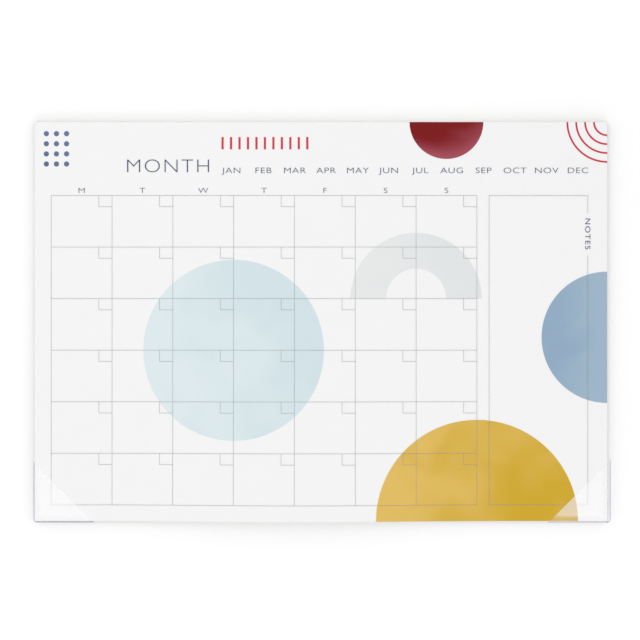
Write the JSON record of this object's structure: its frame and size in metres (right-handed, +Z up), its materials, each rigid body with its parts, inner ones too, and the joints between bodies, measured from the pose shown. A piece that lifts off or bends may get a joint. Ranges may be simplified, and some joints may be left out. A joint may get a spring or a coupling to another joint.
{
  "type": "monthly desk planner pad",
  "caption": "Undated monthly planner pad: tear-off sheets on a card back, glued along the head edge, with clear pockets over its lower corners.",
  "frame": {"origin": "centre of the backing board's flat underside", "axes": "+X to the right along the long side, +Y towards the glued head edge, +Z up out of the printed face"},
  "size_m": [0.4233, 0.294, 0.0101],
  "materials": {
    "greyboard": "matt grey board",
    "sheet_paper": "uncoated white offset paper",
    "padding_glue": "dried white padding glue",
    "clear_film": "clear glossy vinyl film",
    "rule_ink": "matt printed ink",
    "pale_blue_ink": "matt printed ink",
    "pale_grey_ink": "matt printed ink",
    "ochre_ink": "matt printed ink",
    "steel_blue_ink": "matt printed ink",
    "crimson_ink": "matt printed ink",
    "red_ink": "matt printed ink",
    "navy_ink": "matt printed ink"
  },
  "bodies": {
    "root": {"backing_board": "greyboard", "sheet_block": "sheet_paper", "glue_binding": "padding_glue", "corner_protector_left": "clear_film", "corner_protector_right": "clear_film", "print_month_grid": "rule_ink", "print_notes_frame": "rule_ink", "print_disc_pale_blue": "pale_blue_ink", "print_arch_pale_grey": "pale_grey_ink", "print_half_disc_ochre": "ochre_ink", "print_half_disc_steel_blue": "steel_blue_ink", "print_half_disc_crimson": "crimson_ink", "print_corner_ring_1": "red_ink", "print_corner_ring_2": "red_ink", "print_corner_ring_3": "red_ink", "print_corner_ring_4": "red_ink", "print_dot_1": "navy_ink", "print_dot_2": "navy_ink", "print_dot_3": "navy_ink", "print_dot_4": "navy_ink", "print_dot_5": "navy_ink", "print_dot_6": "navy_ink", "print_dot_7": "navy_ink", "print_dot_8": "navy_ink", "print_dot_9": "navy_ink", "print_dot_10": "navy_ink", "print_dot_11": "navy_ink", "print_dot_12": "navy_ink", "print_bar_1": "red_ink", "print_bar_2": "red_ink", "print_bar_3": "red_ink", "print_bar_4": "red_ink", "print_bar_5": "red_ink", "print_bar_6": "red_ink", "print_bar_7": "red_ink", "print_bar_8": "red_ink", "print_bar_9": "red_ink", "print_bar_10": "red_ink", "print_bar_11": "red_ink"}
  },
  "joints": []
}
